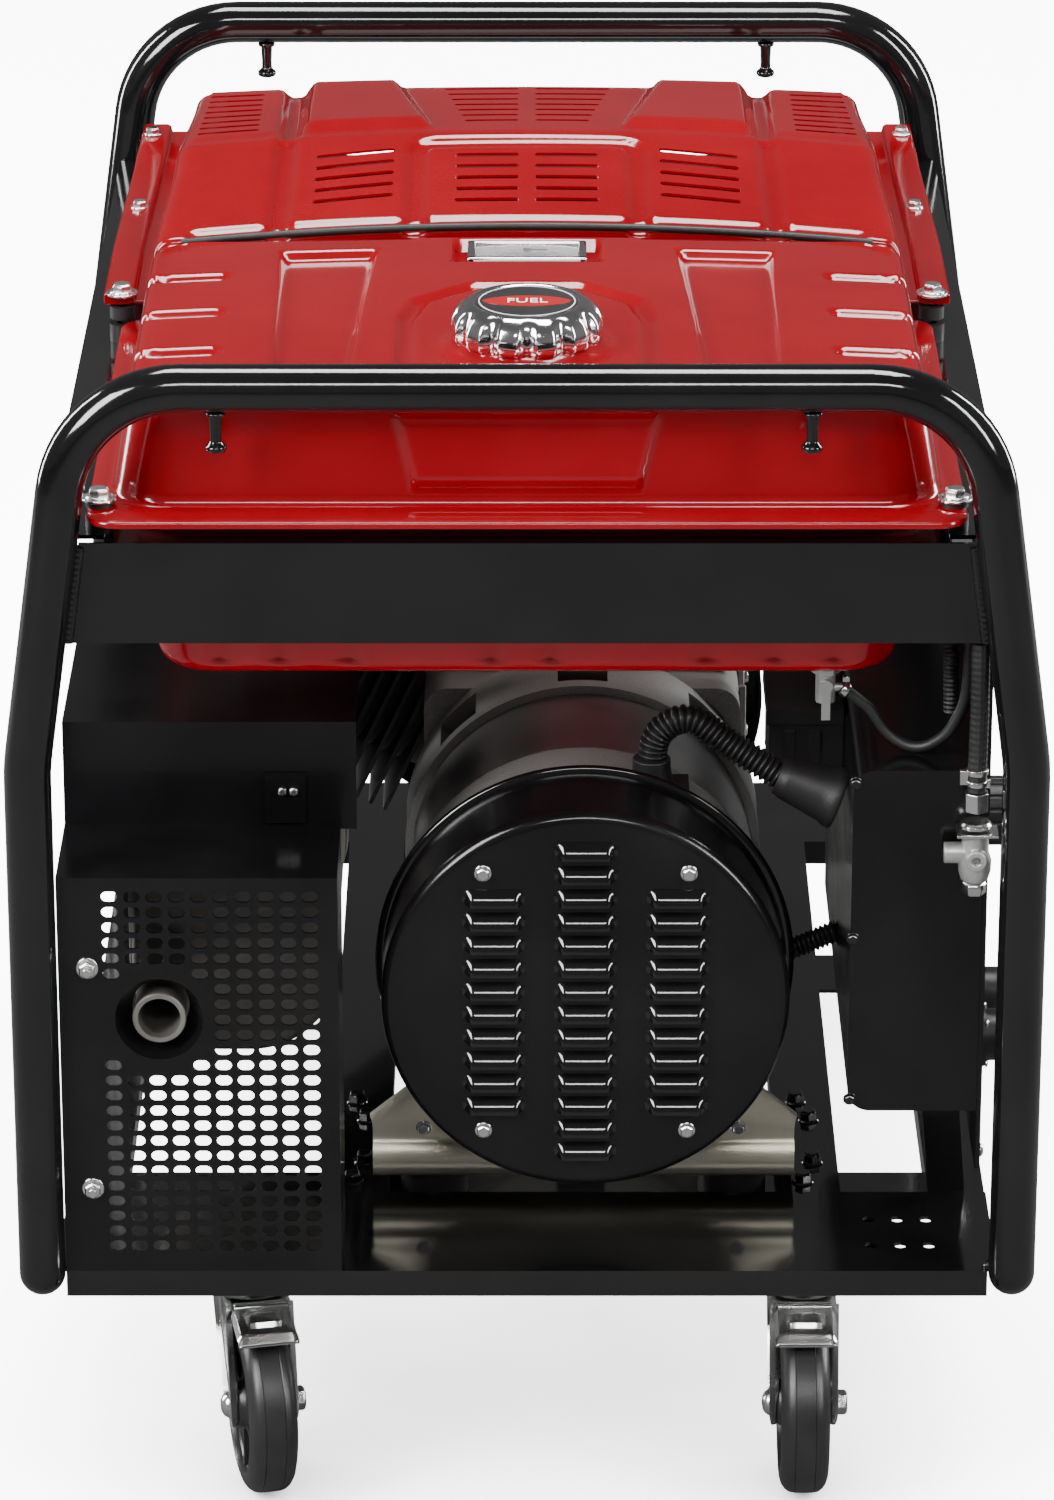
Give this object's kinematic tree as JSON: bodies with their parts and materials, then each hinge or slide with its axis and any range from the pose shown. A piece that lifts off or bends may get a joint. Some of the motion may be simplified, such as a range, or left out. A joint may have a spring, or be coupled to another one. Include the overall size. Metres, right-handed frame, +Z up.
{
  "type": "engine driven welder",
  "caption": "Engine driven arc welder in a tubular roll frame on casters, with fuel tank, red engine hood, shielded muffler, alternator and side control panel.",
  "frame": {"origin": "on the ground, under the centre of the machine", "axes": "+Z up, +X towards the control panel's side, -Y towards the alternator and tank end"},
  "size_m": [0.701, 0.967, 0.842],
  "materials": {
    "black_plastic": "moulded",
    "cast_grey": "as cast, grey",
    "chrome": "bright plated",
    "frame_black": "gloss",
    "galvanised": "champagne zinc plated",
    "gauge": "clear over a white dial",
    "grey_plastic": "moulded",
    "muffler_steel": "aluminised",
    "red_paint": "gloss",
    "rubber": "matt",
    "satin_black": "satin",
    "steel": "machined",
    "tyre": "satin",
    "zinc_plate": "bright zinc plated"
  },
  "bodies": {
    "frame": {"adapter_bell": "cast_grey", "air_cleaner": "black_plastic", "alternator_end_bracket": "cast_grey", "alternator_end_cover": "satin_black", "alternator_foot": "galvanised", "base_frame": "frame_black", "black_bolts": "frame_black", "blower_housing": "satin_black", "carburettor": "cast_grey", "caster_plates": "zinc_plate", "control_box": "satin_black", "control_panel": "satin_black", "crankcase": "cast_grey", "cylinder": "cast_grey", "front_hoop": "frame_black", "fuel_fittings": "zinc_plate", "fuel_gauge": "gauge", "fuel_hoses": "rubber", "fuel_tank_lower": "red_paint", "fuel_tank_upper": "red_paint", "heat_shield": "satin_black", "hood": "red_paint", "muffler": "muffler_steel", "muffler_shield": "satin_black", "panel_fittings": "black_plastic", "rear_hoop": "frame_black", "recoil_housing": "satin_black", "rubber_mounts": "rubber", "shaft_bearings": "steel", "spark_plug": "black_plastic", "starter_motor": "satin_black", "stator": "steel", "upper_frame": "frame_black", "wiring_conduits": "black_plastic", "wiring_covers": "black_plastic", "zinc_bolts": "zinc_plate"},
    "rotor": {"rotor_and_crankshaft": "steel"},
    "recoil_grip": {"recoil_grip": "black_plastic"},
    "fuel_cap": {"fuel_cap": "chrome"},
    "fuel_tap_lever": {"fuel_tap_lever": "zinc_plate"},
    "current_knob": {"current_knob": "black_plastic"},
    "key_switch": {"key_switch": "zinc_plate"},
    "idle_switch": {"idle_switch": "black_plastic"},
    "choke_lever": {"choke_lever": "zinc_plate"},
    "oil_dipstick": {"oil_dipstick": "black_plastic"},
    "breaker_button_1": {"breaker_button_1": "black_plastic"},
    "breaker_button_2": {"breaker_button_2": "black_plastic"},
    "socket_flap_1": {"socket_flap_1": "grey_plastic"},
    "socket_flap_2": {"socket_flap_2": "grey_plastic"},
    "caster_front_left": {"caster_fork_front_left": "zinc_plate"},
    "wheel_front_left": {"caster_wheel_front_left": "tyre"},
    "pedal_front_left": {"brake_pedal_front_left": "zinc_plate"},
    "caster_front_right": {"caster_fork_front_right": "zinc_plate"},
    "wheel_front_right": {"caster_wheel_front_right": "tyre"},
    "pedal_front_right": {"brake_pedal_front_right": "zinc_plate"},
    "caster_rear_left": {"caster_fork_rear_left": "zinc_plate"},
    "wheel_rear_left": {"caster_wheel_rear_left": "tyre"},
    "caster_rear_right": {"caster_fork_rear_right": "zinc_plate"},
    "wheel_rear_right": {"caster_wheel_rear_right": "tyre"}
  },
  "joints": [
    {"name": "rotor_turn", "type": "hinge", "parent": "frame", "child": "rotor", "pos_m": [0.04, 0, 0.37], "axis": [0, 1, 0], "continuous": true},
    {"name": "recoil_pull", "type": "slide", "parent": "frame", "child": "recoil_grip", "axis": [0, 1, 0], "range_m": [0, 0.25], "stiffness_N_per_m": 20},
    {"name": "fuel_cap_turn", "type": "hinge", "parent": "frame", "child": "fuel_cap", "pos_m": [0, -0.322, 0.82], "axis": [0, 0, 1], "range_deg": [0, 90]},
    {"name": "fuel_tap_turn", "type": "hinge", "parent": "frame", "child": "fuel_tap_lever", "pos_m": [0.202, -0.3875, 0.59], "axis": [0, 1, 0], "range_deg": [0, 90]},
    {"name": "choke_turn", "type": "hinge", "parent": "frame", "child": "choke_lever", "pos_m": [-0.1486, 0.017, 0.55946], "axis": [0, 1, 0], "range_deg": [0, 55]},
    {"name": "dipstick_turn", "type": "hinge", "parent": "frame", "child": "oil_dipstick", "pos_m": [0.155, -0.03, 0.288], "axis": [1, 0, 0], "range_deg": [0, 180]},
    {"name": "current_set", "type": "hinge", "parent": "frame", "child": "current_knob", "pos_m": [0.312, -0.356, 0.486], "axis": [1, 0, 0], "range_deg": [0, 270]},
    {"name": "key_turn", "type": "hinge", "parent": "frame", "child": "key_switch", "pos_m": [0.312, -0.092, 0.5], "axis": [1, 0, 0], "range_deg": [0, 60]},
    {"name": "idle_rock", "type": "hinge", "parent": "frame", "child": "idle_switch", "pos_m": [0.31, -0.14, 0.5], "axis": [0, 1, 0], "range_deg": [-8, 8]},
    {"name": "breaker_push_1", "type": "slide", "parent": "frame", "child": "breaker_button_1", "axis": [-1, 0, 0], "range_m": [0, 0.004], "stiffness_N_per_m": 300},
    {"name": "flap_lift_1", "type": "hinge", "parent": "frame", "child": "socket_flap_1", "pos_m": [0.325, -0.214, 0.431], "axis": [0, -1, 0], "range_deg": [0, 100]},
    {"name": "breaker_push_2", "type": "slide", "parent": "frame", "child": "breaker_button_2", "axis": [-1, 0, 0], "range_m": [0, 0.004], "stiffness_N_per_m": 300},
    {"name": "flap_lift_2", "type": "hinge", "parent": "frame", "child": "socket_flap_2", "pos_m": [0.325, -0.116, 0.431], "axis": [0, -1, 0], "range_deg": [0, 100]},
    {"name": "swivel_front_left", "type": "hinge", "parent": "frame", "child": "caster_front_left", "pos_m": [-0.1935, -0.385, 0.15], "axis": [0, 0, 1], "continuous": true},
    {"name": "roll_front_left", "type": "hinge", "parent": "caster_front_left", "child": "wheel_front_left", "pos_m": [-0.18622, -0.41924, 0.0635], "axis": [-0.9781, -0.2079, 0], "continuous": true},
    {"name": "brake_front_left", "type": "hinge", "parent": "caster_front_left", "child": "pedal_front_left", "pos_m": [-0.1856, -0.42217, 0.139], "axis": [0.9781, 0.2079, 0], "range_deg": [0, 8]},
    {"name": "swivel_front_right", "type": "hinge", "parent": "frame", "child": "caster_front_right", "pos_m": [0.1935, -0.385, 0.15], "axis": [0, 0, 1], "continuous": true},
    {"name": "roll_front_right", "type": "hinge", "parent": "caster_front_right", "child": "wheel_front_right", "pos_m": [0.1935, -0.42, 0.0635], "axis": [-1, 0, 0], "continuous": true},
    {"name": "brake_front_right", "type": "hinge", "parent": "caster_front_right", "child": "pedal_front_right", "pos_m": [0.1935, -0.423, 0.139], "axis": [1, 0, 0], "range_deg": [0, 8]},
    {"name": "swivel_rear_left", "type": "hinge", "parent": "frame", "child": "caster_rear_left", "pos_m": [-0.1935, 0.385, 0.15], "axis": [0, 0, 1], "continuous": true},
    {"name": "roll_rear_left", "type": "hinge", "parent": "caster_rear_left", "child": "wheel_rear_left", "pos_m": [-0.1935, 0.42, 0.0635], "axis": [1, 0, 0], "continuous": true},
    {"name": "swivel_rear_right", "type": "hinge", "parent": "frame", "child": "caster_rear_right", "pos_m": [0.1935, 0.385, 0.15], "axis": [0, 0, 1], "continuous": true},
    {"name": "roll_rear_right", "type": "hinge", "parent": "caster_rear_right", "child": "wheel_rear_right", "pos_m": [0.18622, 0.41924, 0.0635], "axis": [0.9781, 0.2079, 0], "continuous": true}
  ]
}
